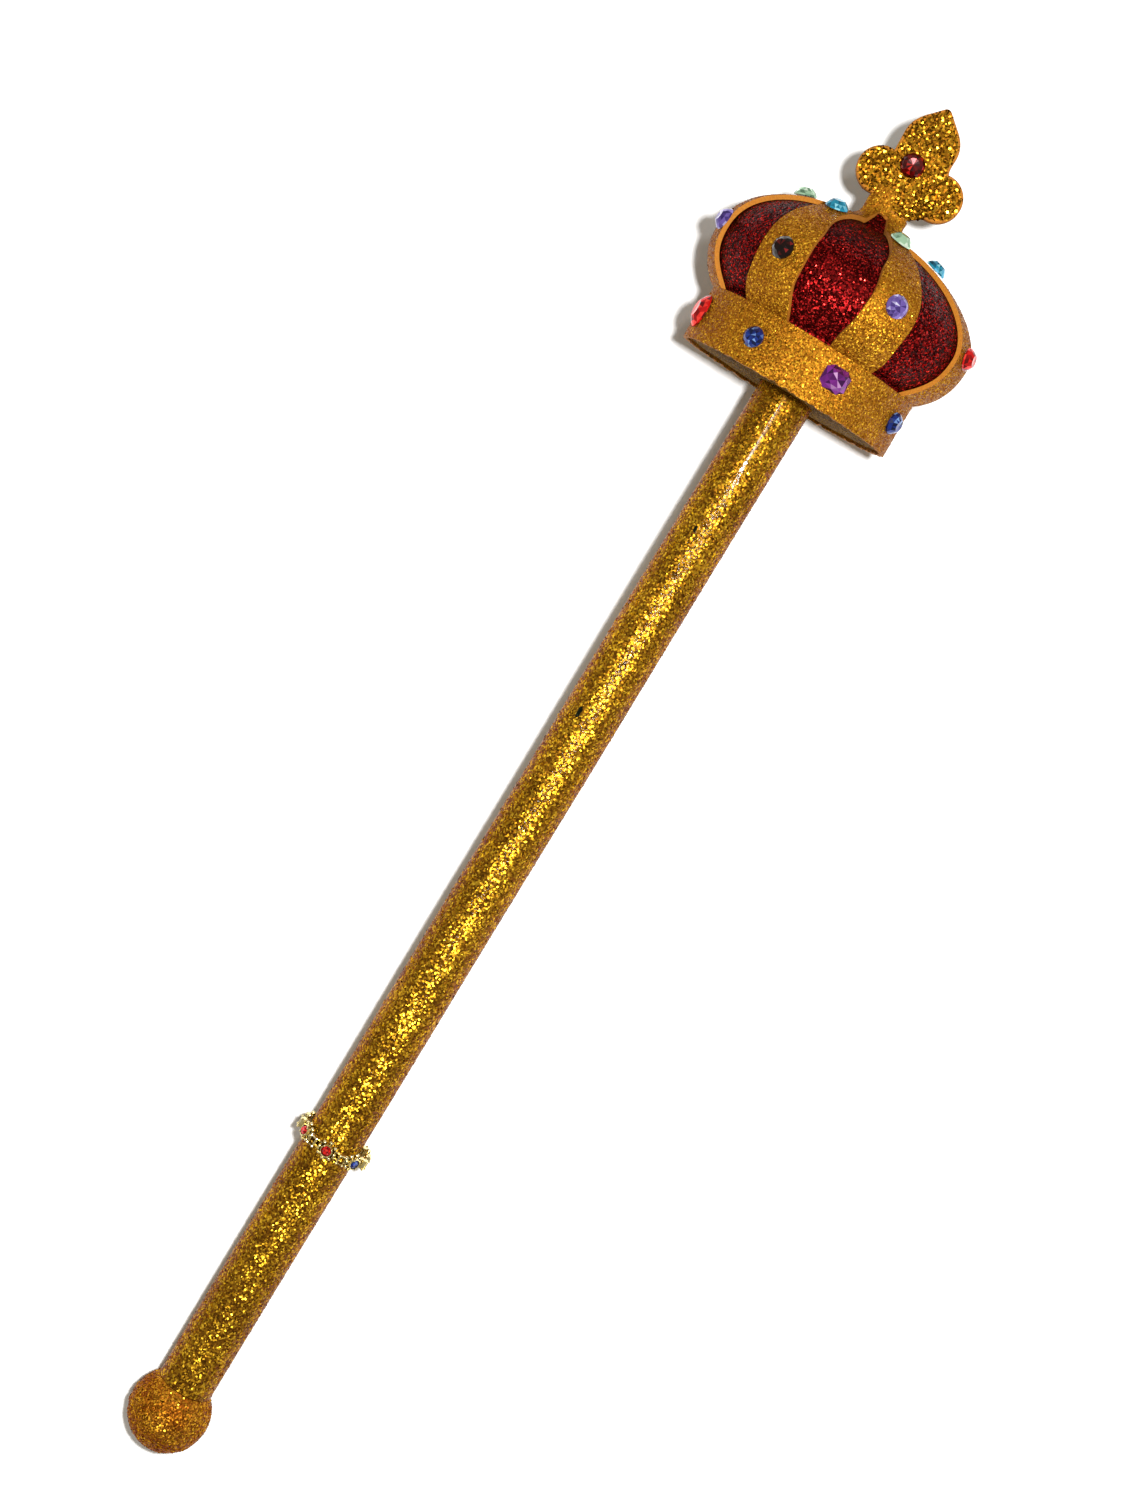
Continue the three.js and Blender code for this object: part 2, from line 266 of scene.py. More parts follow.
def addNode(tree, kind, inputs=None, **settings):
    # Inputs are numbers, colours or the socket that feeds them.
    node = tree.nodes.new("ShaderNode" + kind)
    for name, value in settings.items():
        setattr(node, name, value)
    for name, value in (inputs or {}).items():
        socket = node.inputs[name]
        if isinstance(value, bpy.types.NodeSocket):
            tree.links.new(value, socket)
        else:
            socket.default_value = value
    return node


def newFinish(name, **values):
    # A Principled material; values sit on the shader's own sockets.
    material = bpy.data.materials.new(name)
    material.use_nodes = True
    tree = material.node_tree
    shader = tree.nodes["Principled BSDF"]
    for socket, value in values.items():
        shader.inputs[socket].default_value = value
    return material, tree, shader


def colourRamp(tree, factor, stops):
    # Straight steps between stops of position and colour.
    ramp = addNode(tree, "ValToRGB", {"Fac": factor})
    elements = ramp.color_ramp.elements
    while len(elements) < len(stops):
        elements.new(0.5)
    for element, (position, colour) in zip(elements, stops):
        element.position = position
        element.color = (*colour, 1)
    return ramp.outputs["Color"]


def mapRange(tree, value, fromLow, fromHigh, toLow, toHigh):
    # Carries one range of values onto another in a straight line, held at both ends.
    inputs = {"Value": value, "From Min": fromLow, "From Max": fromHigh}
    inputs.update({"To Min": toLow, "To Max": toHigh})
    return addNode(tree, "MapRange", inputs).outputs["Result"]


def mixColour(tree, factor, first, second, blend="MIX"):
    # First towards second by the factor; the Mix node keeps one set of sockets for each type.
    node = addNode(tree, "Mix", data_type="RGBA", blend_type=blend)
    sockets = {socket.identifier: socket for socket in (*node.inputs, *node.outputs)}
    for identifier, value in (("Factor_Float", factor), ("A_Color", first), ("B_Color", second)):
        if isinstance(value, bpy.types.NodeSocket):
            tree.links.new(value, sockets[identifier])
        else:
            sockets[identifier].default_value = value
    return sockets["Result_Color"]


def vectorMath(tree, operation, inputs):
    # One sum on directions or places, by the name of its operation.
    return addNode(tree, "VectorMath", inputs, operation=operation).outputs[0]


def glitterCells(tree, cell, tilt):
    # Irregular cells with a random colour each. Its three parts less a half, times twice the
    # tangent of the tilt, are added to the surface's direction, so that each cell leans its own way.
    place = addNode(tree, "TexCoord").outputs["Object"]
    cells = addNode(tree, "TexVoronoi", {"Vector": place, "Scale": 1 / millimetre / cell})
    tone = cells.outputs["Color"]
    centred = vectorMath(tree, "SUBTRACT", {0: tone, 1: (0.5, 0.5, 0.5)})
    slope = 2 * math.tan(math.radians(tilt))
    lean = vectorMath(tree, "SCALE", {0: centred, "Scale": slope})
    surface = addNode(tree, "NewGeometry").outputs["Normal"]
    leaned = vectorMath(tree, "NORMALIZE", {0: vectorMath(tree, "ADD", {0: surface, 1: lean})})
    channels = addNode(tree, "SeparateColor", {"Color": tone})
    return place, [channels.outputs[i] for i in range(3)], leaned


dullGloss = 0.12  # the glue between the flakes hardly shines
goldEdge = (0.42, 0.20, 0.02)  # tint of a shine seen at a slant, where a look gives no other


def glitterFinish(name, look, **values):
    # Metal-like cells over a dull ground: tone, shine and roughness vary from cell to cell.
    edgeTint = (*look.get("edgeTint", goldEdge), 1)
    values.update({"Specular IOR Level": dullGloss, "Specular Tint": edgeTint})
    material, tree, shader = newFinish(name, **values)
    place, (tone, shine, grain), lean = glitterCells(tree, look["cell"], look["tilt"])
    colour = colourRamp(tree, tone, look["tones"])
    cloud = addNode(tree, "TexNoise", {"Vector": place, "Scale": look.get("cloudScale", 60)})
    patch = mapRange(tree, cloud.outputs["Fac"], 0.35, 0.65, 0, 1)
    shade = colourRamp(tree, patch, [(0, look["cloud"]), (1, (1, 1, 1))])
    colour = mixColour(tree, 1.0, colour, shade, "MULTIPLY")
    tree.links.new(colour, shader.inputs["Base Color"])
    tree.links.new(mapRange(tree, shine, 0, 1, *look["metal"]), shader.inputs["Metallic"])
    tree.links.new(mapRange(tree, grain, 0, 1, *look["rough"]), shader.inputs["Roughness"])
    tree.links.new(lean, shader.inputs["Normal"])
    return material, tree, shader, colour, place


def flakeFinish(name, piece):
    # Loose flakes: mirror-like metal whose tone differs from flake to flake.
    tones = piece.get("flakeTones", piece["look"]["tones"])
    values = {"Metallic": 1.0, "Roughness": piece["flakeRough"]}
    values["Specular Tint"] = (*piece["look"].get("edgeTint", goldEdge), 1)
    material, tree, shader = newFinish(name, **values)
    tone = addNode(tree, "Attribute", attribute_name="flakeTone").outputs["Fac"]
    tree.links.new(colourRamp(tree, tone, tones), shader.inputs["Base Color"])
    return material


def offFloor(spots, _):
    # True clear of the floor.
    return spots[:, 2] > flakeShape["floorRoom"]


def addFlakes(name, slot, finish, mesh, piece, seed, shown):
    # Scatters a piece's flakes over its mesh and keeps those that shown allows.
    rng = np.random.default_rng(seed)
    spots, outward = scatterOn(mesh, piece["flakes"], rng)
    keep = shown(spots, outward)
    flakes = flakeMesh(name, spots[keep], outward[keep], piece, rng)
    putIn(flakes, slot, [flakeFinish(finish, piece)])


tube = {
    "rows": 300,
    "columns": 96,
    "sunk": 0.05,  # the film lies this far inside the tube's true radius
    "uneven": 0.06,
    "unevenAlong": 23,
    "unevenRound": 9,
    "sharp": 45,
    "flakes": 12000,
    "flakeSize": (0.45, 0.95),
    "flakeTilt": 11,
    "flakeRise": 0.03,
    "flakeRough": 0.26,
    "clearEnds": (0.5, 1.2),  # no flakes this near the ball; how far they run into the crown
    "endMiddle": 3,  # and none this near the tube's middle line, on its hidden ends
    "look": {
        "cell": 0.62,
        "tilt": 17,
        "tones": [
            (0.0, (0.13, 0.048, 0.003)), (0.45, (0.25, 0.100, 0.006)),
            (0.8, (0.50, 0.26, 0.012)), (1.0, (0.85, 0.52, 0.035)),
        ],
        "metal": (0.55, 1.0),
        "rough": (0.22, 0.45),
        "cloud": (0.7, 0.66, 0.6),
    },
    # worn places: along the staff, degrees from the top, half length, half width
    "worn": ((297, -25, 2.3, 0.9), (373, -16, 1.4, 0.7)),
    "wornDepth": 3,
    "wornEdge": (1.35, 1.5),  # where the dark starts and stops fading out
    "wornColour": (0.010, 0.014, 0.008, 1),
    "coat": {"Coat Weight": 0.15, "Coat Roughness": 0.1, "Coat IOR": 1.45},
    # the film is smooth just below the crown and rubbed rough everywhere else
    "smoothFrom": (118, 140),  # along the scene
    "rubbed": (0.7, 0.02),  # strength of the roughness before and after
    "rubbedDepth": 0.4,
}


def wornPlace(along, angle):
    # A spot on the tube's skin, from its length along the staff and its angle from the top.
    a = math.radians(angle)
    spot = [along, -staff["tubeRadius"] * math.sin(a), staff["tubeRadius"] * math.cos(a)]
    return carried(np.array(spot), staffPlace)


def filmFinish():
    # Glitter under clear film. A worn place shows dark where the distance from its middle, in half
    # lengths and half widths, plus a ragged noise stays under its edge.
    material, tree, shader, colour, place = glitterFinish("glitterFilm", tube["look"], **tube["coat"])
    for along, angle, length, width in tube["worn"]:
        mapping = addNode(tree, "Mapping", {"Vector": place}, vector_type="TEXTURE")
        size = np.array([length, width, tube["wornDepth"]])
        mapping.inputs["Location"].default_value = wornPlace(along, angle) * millimetre
        mapping.inputs["Rotation"].default_value = (0, -math.radians(climb), 0)
        mapping.inputs["Scale"].default_value = size * millimetre
        reach = addNode(tree, "VectorMath", {0: mapping.outputs[0]}, operation="LENGTH")
        ragged = addNode(tree, "TexNoise", {"Vector": place, "Scale": 1500.0})
        terms = {0: ragged.outputs["Fac"], 1: reach.outputs["Value"]}
        spread = addNode(tree, "Math", terms, operation="ADD").outputs[0]
        bare = mapRange(tree, spread, *tube["wornEdge"], 1, 0)
        colour = mixColour(tree, bare, colour, tube["wornColour"])
    tree.links.new(colour, shader.inputs["Base Color"])
    along = addNode(tree, "SeparateXYZ", {"Vector": place}).outputs["X"]
    start, end = (millimetre * x for x in tube["smoothFrom"])
    rubbed = mapRange(tree, along, start, end, *tube["rubbed"])
    grain = addNode(tree, "TexNoise", {"Vector": place, "Scale": 1100.0}).outputs["Fac"]
    inputs = {"Height": grain, "Strength": rubbed, "Distance": tube["rubbedDepth"] * millimetre}
    bump = addNode(tree, "Bump", inputs)
    tree.links.new(bump.outputs["Normal"], shader.inputs["Coat Normal"])
    return material


def onOpenFilm(spots, _):
    # True between the ball and the crown, off the hidden end faces and the worn places.
    local = onStaff(spots)
    before, after = tube["clearEnds"]
    keep = (local[:, 0] > tubeStart + before) & (local[:, 0] < staff["crownFoot"] + after)
    keep &= np.abs(local[:, 1:]).max(1) > tube["endMiddle"]
    for along, angle, length, _ in tube["worn"]:
        keep &= np.linalg.norm(spots - wornPlace(along, angle), axis=1) > length
    return keep


def makeTube():
    # A cylinder with a faint hand-wrapped unevenness: radius + waves over length and girth.
    along = np.linspace(tubeStart, tubeEnd, tube["rows"])[:, None]
    angles = anglesOf(tube["columns"])
    girth = np.radians(angles) * staff["tubeRadius"]
    wave = np.sin(along / tube["unevenAlong"] + girth / tube["unevenRound"])
    radius = staff["tubeRadius"] - tube["sunk"] + tube["uneven"] * wave
    grid = carried(ringOf(radius, along, angles), staffPlace)
    mesh = cappedSurface("tube_film", grid, tube["sharp"])
    putIn(mesh, "glitter_film", [filmFinish()], "staff_tube")
    addFlakes("tube_flakes", "glitter_film", "filmFlakes", mesh, tube, 11, onOpenFilm)
    print("tube and its flakes made")


makeTube()

ball = {
    "rows": 72,
    "columns": 120,
    "sunk": 0.12,
    "bareRim": 0.4,  # no flakes this near the tube
    "lumps": 0.1,
    "lumpPitch": 1.6,
    "waveReach": 15,
    "sharp": 45,
    "flakes": 2600,
    "flakeSize": (0.4, 0.8),
    "flakeTilt": 16,
    "flakeRise": 0.04,
    "flakeRough": 0.3,
    "look": {
        "cell": 0.5,
        "tilt": 22,
        "tones": [
            (0.0, (0.15, 0.045, 0.005)), (0.5, (0.32, 0.12, 0.010)),
            (0.85, (0.52, 0.25, 0.016)), (1.0, (0.88, 0.52, 0.035)),
        ],
        "metal": (0.35, 0.95),
        "rough": (0.28, 0.55),
        "cloud": (0.75, 0.55, 0.5),
        "cloudScale": 110,
    },
}


def offJoint(spots, _):
    # True on the open ball: off its joint with the tube, and off the floor.
    return (onStaff(spots)[:, 0] < ballNeck - ball["bareRim"]) & offFloor(spots, None)


def makeBall():
    # A sphere from its pole to where the tube sits: radius times sine and cosine of the turn.
    end = math.acos(-ballNeck / staff["ballRadius"])
    turn = np.linspace(0.02, end, ball["rows"])[:, None]
    angles = anglesOf(ball["columns"])
    over = turn * ball["waveReach"]
    about = np.sin(np.radians(angles)) * ball["waveReach"]
    lump = wobble(over, about, 5, ball["lumps"], finest=ball["lumpPitch"])
    radius = staff["ballRadius"] - ball["sunk"] + lump * np.sin(turn)
    grid = ringOf(radius * np.sin(turn), -radius * np.cos(turn), angles)
    grid = carried(grid, staffPlace)
    grid[..., 2] = np.maximum(grid[..., 2], 0)
    mesh = cappedSurface("glitter_ball", grid, ball["sharp"])
    material = glitterFinish("ballGlitter", ball["look"])[0]
    putIn(mesh, "glitter_ball", [material], "pommel_ball")
    addFlakes("ball_flakes", "glitter_ball", "ballFlakes", mesh, ball, 12, offJoint)
    print("ball made")


makeBall()

foam = {
    "rowStep": 1.2,
    "ribColumns": 12,
    "panelColumns": 16,
    "uneven": 0.12,
    "waveReach": 45,  # radius at which the waves are as long as their pitch says
    "calmNeck": (6, 16),  # radii between which the unevenness starts
    "ragged": 0.35,  # how uneven the cut lower rim is
    "raggedBelow": 0.1,  # how far it may hang past the true rim
    "rimReach": 3,
    "cutWander": 0.28,  # how far the scissors wandered along a rib
    "edgeRound": 0.35,
    "edgeAngle": 50,
    "flakes": 9000,
    "flakeSize": (0.3, 0.62),
    "flakeTilt": 15,
    "flakeRise": 0.02,
    "flakeRough": 0.28,
    "look": {
        "cell": 0.42,
        "tilt": 20,
        "tones": [
            (0.0, (0.17, 0.055, 0.004)), (0.5, (0.29, 0.110, 0.008)),
            (0.85, (0.42, 0.19, 0.012)), (1.0, (0.85, 0.50, 0.035)),
        ],
        "metal": (0.1, 0.85),
        "rough": (0.3, 0.6),
        "cloud": (0.82, 0.76, 0.7),
    },
}


def leanAt(height):
    # Sideways drift of the crown's middle line, from the band to the neck.
    first, last = crown["lean"]
    middle = crown["domeMiddle"]
    return first + (last - first) * smoothStep(height, middle, middle + crown["domeRise"] + 4)


def onCrown(radius, height, angles):
    # Rings round the crown's middle line, in the scene's frame.
    rings = ringOf(radius, height, angles)
    rings[..., 1] += leanAt(rings[..., 0])
    return carried(rings, crownPlace, staffPlace)


def crownCurve(inset, topRows):
    # Radius and height from the band's top: two superellipse quarters, a fillet and the neck.
    radius = crown["domeRadius"] - inset

    def quarter(endRadius, reach, power, steps):
        end = math.acos((endRadius / radius) ** (power / 2))
        t = np.linspace(0, end, steps)
        r = radius * np.cos(t) ** (2 / power)
        return np.stack([r, crown["domeMiddle"] + reach * np.sin(t) ** (2 / power)], -1)

    lower, upper, bend = crown["curveSteps"]
    rim = crown["bandRadius"] - inset
    below = quarter(rim, inset - crown["domeDrop"], crown["dropPower"], lower)
    crest = crown["neckRadius"] + crown["neckFillet"]
    above = quarter(crest, crown["domeRise"] - inset, crown["risePower"], upper)
    start, height = above[-1]
    reach = start - (crown["neckRadius"] - inset)
    turn = np.linspace(0, math.pi / 2, bend)[1:]
    fillet = np.stack([start - reach * np.sin(turn), height + reach * (1 - np.cos(turn))], -1)
    return np.concatenate([below[::-1], above[1:], fillet, topRows])


def rowsAlong(curve, step, heights=()):
    # Even steps along a curve of radius and height, with rows at the given heights.
    lengths = np.append(0, np.cumsum(np.linalg.norm(np.diff(curve, axis=0), axis=1)))
    fixed = np.interp(heights, curve[:, 1], lengths)
    even = np.linspace(0, lengths[-1], int(lengths[-1] / step))
    even = even[np.abs(even[:, None] - fixed[None]).min(1) > 0.45 * step] if len(fixed) else even
    rows = np.sort(np.append(even, fixed))
    return np.interp(rows, lengths, curve[:, 0]), np.interp(rows, lengths, curve[:, 1])


def panelSpan(panel):
    # Middle and half width, in degrees, of the space between two ribs.
    ribs = crown["ribs"]
    first, second = ribs[panel], ribs[(panel + 1) % len(ribs)]
    second += 360 if panel + 1 == len(ribs) else 0
    return (first + second) / 2, (second - first - crown["ribWidth"]) / 2


def openingAt(height, panel):
    # Half angle of an opening: narrower at the band; the front one spreads at the neck.
    narrowing, reach = crown["narrowing"]
    band = crown["bandHeight"]
    half = panelSpan(panel)[1] - narrowing * (1 - smoothStep(height, band, band + reach))
    if panel == crown["frontPanel"]:
        for degrees, low, high in crown["spread"]:
            half = half + degrees * smoothStep(height, low, high)
    return half


def panelEdge(height, panel, side):
    # Angle of an opening's edge, with the wander of a hand-held cutter.
    middle = panelSpan(panel)[0]
    radius = np.interp(height, crownHeights, crownRadii)
    wander = wobble(height, 0 * height, 40 + 2 * panel + (side > 0), foam["cutWander"], finest=9)
    return middle + side * openingAt(height, panel) + np.degrees(wander / radius)


outerCurve = crownCurve(0, np.array([(crown["neckRadius"], crown["neckStraight"])]))
outerCurve = np.concatenate([[(crown["rimRadius"], 0)], outerCurve])
crownRadii, crownHeights = outerCurve.T
panelCount = len(crown["ribs"])


def wrappedNeck(radius, height, a):
    # Blends the round neck into a rounded oblong round the tang, cut off on a slant.
    wide, deep = crown["neckHalf"]
    oblong = ((np.abs(np.sin(a)) / wide) ** 3 + (np.abs(np.cos(a)) / deep) ** 3) ** (-1 / 3)
    share = smoothStep(height, *crown["neckBlend"])
    right, left = crown["neckEnds"]
    end = right + (left - right) * smoothStep(-np.sin(a), *crown["neckSlant"])
    last = crown["neckLast"]
    reach = (height - last) / (crown["neckStraight"] - last)
    risen = np.where(height > last, last + reach * (end - last), height)
    return radius * (1 - share) + oblong * share, risen


def foamSheet():
    # The outer skin on a grid of height and angle, its columns following the ribs' edges.
    bandTop = outerCurve[1, 1]
    fixed = [bandTop, crown["panelTop"], crown["tongueTop"]]
    radius, height = rowsAlong(outerCurve, foam["rowStep"], fixed)
    level = (height[:-1] + height[1:])[:, None] / 2  # of each row of faces
    angles, panelOf = [], []
    for panel in range(panelCount):
        left, right = panelEdge(height, panel, -1), panelEdge(height, panel, 1)
        after = (panel + 1) % panelCount
        nextLeft = panelEdge(height, after, -1) + (360 if after == 0 else 0)
        across = np.linspace(0, 1, foam["panelColumns"], endpoint=False)
        angles.append(left[:, None] + (right - left)[:, None] * across)
        across = np.linspace(0, 1, foam["ribColumns"], endpoint=False)
        angles.append(right[:, None] + (nextLeft - right)[:, None] * across)
        panelOf += [panel] * foam["panelColumns"] + [-1] * foam["ribColumns"]
    angles, panelOf = np.concatenate(angles, 1), np.array(panelOf)
    radius, height = radius[:, None], height[:, None]
    girth = np.radians(angles) * foam["waveReach"]
    solid = smoothStep(radius, *foam["calmNeck"])
    radius = radius + wobble(girth, height, 21, foam["uneven"], finest=9) * solid
    rim = 1 - smoothStep(height, 0, foam["rimReach"])
    ragged = np.maximum(wobble(girth, 0 * girth, 22, foam["ragged"]), -foam["raggedBelow"])
    height = height + rim * ragged
    height = height * np.ones_like(angles)
    radius, height = wrappedNeck(radius, height, np.radians(angles))
    grid = onCrown(radius, height, angles)
    grid[..., 2] = np.maximum(grid[..., 2], 0)
    # The faces of each panel between the band and its top are left out.
    top = np.where(panelOf == crown["frontPanel"], crown["tongueTop"], crown["panelTop"])
    opened = (panelOf >= 0) & (level > bandTop) & (level < top)
    faces = gridFaces(*grid.shape[:2])[~opened.ravel()]
    used, renumbered = np.unique(faces, return_inverse=True)
    points = grid.reshape(-1, 3)[used]
    return newMesh("crown_foam", points, renumbered.reshape(-1, 4).tolist())


def foamEdgeFinish():
    # Plain cut foam: matte orange with fine pores.
    values = {"Roughness": 0.75, "Specular IOR Level": 0.25}
    material, tree, shader = newFinish("foamCutEdge", **values)
    place = addNode(tree, "TexCoord").outputs["Object"]
    pores = addNode(tree, "TexNoise", {"Vector": place, "Scale": 1800.0, "Detail": 4.0})
    stops = [(0.3, (0.30, 0.100, 0.007)), (0.7, (0.42, 0.155, 0.010))]
    tree.links.new(colourRamp(tree, pores.outputs["Fac"], stops), shader.inputs["Base Color"])
    bump = addNode(tree, "Bump", {"Height": pores.outputs["Fac"], "Distance": 0.0002})
    tree.links.new(bump.outputs["Normal"], shader.inputs["Normal"])
    return material


cutEdge = foamEdgeFinish()


def makeFoam():
    # The sheet gets its thickness inwards; its cut edges are rounded a little.
    mesh = foamSheet()
    material = glitterFinish("foamGlitter", foam["look"])[0]
    piece = putIn(mesh, "foam_gold", [material, cutEdge], "crown_foam_frame")
    wall = piece.modifiers.new("foam thickness", "SOLIDIFY")
    wall.thickness = crown["foam"] * millimetre
    wall.offset = -1
    wall.use_even_offset = True
    wall.material_offset_rim = 1
    soften = piece.modifiers.new("cut edges", "BEVEL")
    soften.width = foam["edgeRound"] * millimetre
    soften.segments = 2
    soften.limit_method = "ANGLE"
    soften.angle_limit = math.radians(foam["edgeAngle"])
    soften.harden_normals = True
    addFlakes("foam_flakes", "foam_gold", "foamFlakes", mesh, foam, 13, offFloor)
    print("crown foam made")


makeFoam()

dome = {
    "rowStep": 1.15,
    "columns": 168,
    "inset": 1.95,
    "foot": 4.3,
    "top": 72,
    "sharp": 50,
    "flakes": 16000,
    "flakeSize": (0.35, 0.75),
    "flakeTilt": 13,
    "flakeRise": 0.02,
    "flakeRough": 0.26,
    "flakeMargin": 0.3,  # no flakes this near a rib
    "flakeTones": [
        (0.0, (0.05, 0.002, 0.002)),
        (0.55, (0.42, 0.012, 0.010)),
        (1.0, (1.0, 0.07, 0.05)),
    ],
    "look": {
        "edgeTint": (0.15, 0.006, 0.006),
        "cell": 0.5,
        "tilt": 16,
        "tones": [
            (0.0, (0.022, 0.001, 0.001)), (0.6, (0.036, 0.002, 0.002)),
            (0.9, (0.28, 0.008, 0.009)), (1.0, (0.70, 0.03, 0.025)),
        ],
        "metal": (0.3, 0.9),
        "rough": (0.28, 0.5),
        "cloud": (0.75, 0.7, 0.7),
    },
}


def inPanels(spots, _):
    # True where a place shows between two ribs, clear of their edges.
    points = (onStaff(spots) - crownPlace[1]) @ crownPlace[0]
    height = points[:, 0]
    across = points[:, 1] - leanAt(height)
    radius = np.hypot(across, points[:, 2])
    angle = np.degrees(np.arctan2(-across, points[:, 2]))
    shown = np.zeros(len(spots), bool)
    for panel in range(panelCount):
        middle = panelSpan(panel)[0]
        off = (angle - middle + 180) % 360 - 180
        room = openingAt(height, panel) - np.degrees(dome["flakeMargin"] / np.maximum(radius, 1))
        top = crown["tongueTop"] if panel == crown["frontPanel"] else crown["panelTop"]
        shown |= (np.abs(off) < room) & (height > crown["bandHeight"]) & (height < top)
    return shown


def makeDome():
    # The red dome inside the foam: the crown's own curve less the inset, turned round its line,
    # with a well for the tube.
    inset, foot = dome["inset"], dome["foot"]
    curve = crownCurve(inset, np.array([(crown["neckRadius"] - inset, dome["top"])]))
    radius, height = rowsAlong(curve, dome["rowStep"])
    angles = anglesOf(dome["columns"])
    radius = np.append([curve[0, 0]], radius)[:, None]
    height = np.append([foot], height)[:, None] + 0 * angles
    wrapped, height = wrappedNeck(radius + inset, height, np.radians(angles))
    skin = onCrown(wrapped - inset, height, angles)
    wellRadius = staff["tubeRadius"] + staff["jointGap"]
    along = np.array([tubeEnd + staff["jointGap"], staff["crownFoot"] + foot])[:, None]
    well = carried(ringOf(wellRadius, along, angles), staffPlace)
    mesh = cappedSurface("red_dome", np.concatenate([well, skin]), dome["sharp"])
    putIn(mesh, "foam_red", [glitterFinish("redGlitter", dome["look"])[0]], "dome_core")
    addFlakes("dome_flakes", "foam_red", "redFlakes", mesh, dome, 14, inPanels)
    print("dome made")


makeDome()

underside = {
    "radius": 38.6,
    "recess": 1,
    "thickness": 3,
    "edge": 0.3,
    "innerRings": (16, 28, 24),  # two below, one above
    "uneven": 0.12,
    "columns": 120,
    "sharp": 50,
    # The same gold glitter as the crown, darker and duller: painted shade on the side that faces the
    # floor.
    "look": {
        "cell": 0.55,
        "tilt": 20,
        "tones": [
            (0.0, (0.03, 0.012, 0.001)), (0.6, (0.10, 0.042, 0.003)),
            (1.0, (0.38, 0.21, 0.012)),
        ],
        "metal": (0.0, 0.15),
        "rough": (0.8, 0.95),
        "cloud": (0.7, 0.66, 0.6),
    },
}


def makeUnderside():
    # A flat ring: its section runs out along the bottom, up the edge and back in along the top.
    angles = anglesOf(underside["columns"])
    low = underside["recess"]
    high = low + underside["thickness"]
    radius, edge = underside["radius"], underside["edge"]
    first, second, third = underside["innerRings"]
    section = [(first, low), (second, low), (radius - edge, low), (radius, low + edge)]
    section = np.array([*section, (radius, high), (third, high)])
    radius, height = section[:, :1], section[:, 1:] + 0 * angles
    girth = np.radians(angles) * 30
    ripple = wobble(girth, 0 * girth, 31, underside["uneven"], finest=8)
    height[1:3] += np.maximum(ripple, -edge)
    rings = onCrown(radius, height, angles)
    along = staff["crownFoot"] + np.array([high, low])[:, None]
    hole = carried(ringOf(staff["tubeRadius"] + staff["jointGap"], along, angles), staffPlace)
    grid = np.concatenate([hole, rings])
    faces = gridFaces(*grid.shape[:2], loop=True).tolist()
    mesh = newMesh("crown_underside", grid.reshape(-1, 3), faces, sharp=underside["sharp"])
    material = glitterFinish("undersideShadedGlitter", underside["look"])[0]
    putIn(mesh, "foam_under", [material], "crown_base_disc")
    print("underside made")


makeUnderside()

finial = {
    "foot": 72,  # its own zero above the crown's rim
    "thickness": 5,
    "edge": ((0.9, 0), (0.4, 0.1), (0.12, 0.42), (0, 0.95)),  # inset and depth of the rounding
    "spacing": 0.55,
    "gem": (18.6, 0.6, 0.3, 8.8),  # place up, across and off the face, and its width
    "flakes": 4200,
    "flakeSize": (0.5, 1.05),
    "flakeTilt": 15,
    "flakeRise": 0.05,
    "flakeRough": 0.24,
    "look": {
        "cell": 0.7,
        "tilt": 20,
        "tones": [
            (0.0, (0.07, 0.023, 0.002)), (0.45, (0.20, 0.078, 0.005)),
            (0.8, (0.42, 0.19, 0.010)), (1.0, (0.85, 0.50, 0.035)),
        ],
        "metal": (0.5, 1.0),
        "rough": (0.2, 0.45),
        "cloud": (0.75, 0.7, 0.6),
    },
}


def bezier(*points):
    # A cubic curve from the first point to the last, drawn towards the two between them.
    t = np.linspace(0, 1, 24)[:, None]
    a, b, c, d = (np.array(p, float) for p in points)
    return a * (1 - t) ** 3 + 3 * b * t * (1 - t) ** 2 + 3 * c * t * t * (1 - t) + d * t**3


def arcOf(middle, radius, start, end):
    # Part of a circle, in degrees turning left from the right-hand side.
    t = np.radians(np.linspace(start, end, 60))
    return np.stack([middle[0] + radius * np.cos(t), middle[1] + radius * np.sin(t)], -1)


def finialOutline():
    # One pointed petal over two round lobes and a tang, as a closed line of even steps.
    parts = [
        [(7.6, 1), (7.6, 8.6)],
        bezier((7.6, 8.6), (7.8, 10.4), (10.6, 10.4), (11.2, 8)),
        arcOf((13.1, 13.9), 8.6, -96, 98),
        bezier((11.9, 22.4), (11.1, 24.5), (11.4, 26), (11.4, 28)),
        bezier((11.4, 28), (11.3, 32.5), (9, 35), (6.2, 37.2)),
        bezier((1.4, 41.2), (0.67, 41.67), (-0.07, 41.67), (-0.8, 41.2)),
        bezier((-5.4, 36.4), (-8.2, 33.4), (-9.2, 31), (-9.2, 27.5)),
        arcOf((-9.6, 12), 8.4, 85, 281.7),
        [(-7.8, 1)],
    ]
    line = np.concatenate([np.asarray(p, float) for p in parts])
    line = np.concatenate([line, line[:1]])
    steps = np.linalg.norm(np.diff(line, axis=0), axis=1)
    lengths = np.append(0, np.cumsum(steps))
    even = np.linspace(0, lengths[-1], int(lengths[-1] / finial["spacing"]), endpoint=False)
    return np.stack([np.interp(even, lengths, line[:, i]) for i in (0, 1)], -1)


def onFaces(_, outward):
    # True on the front and back faces, not on the cut edge.
    return np.abs(outward @ (staffPlace[0] @ crownPlace[0])[:, 2]) > 0.8


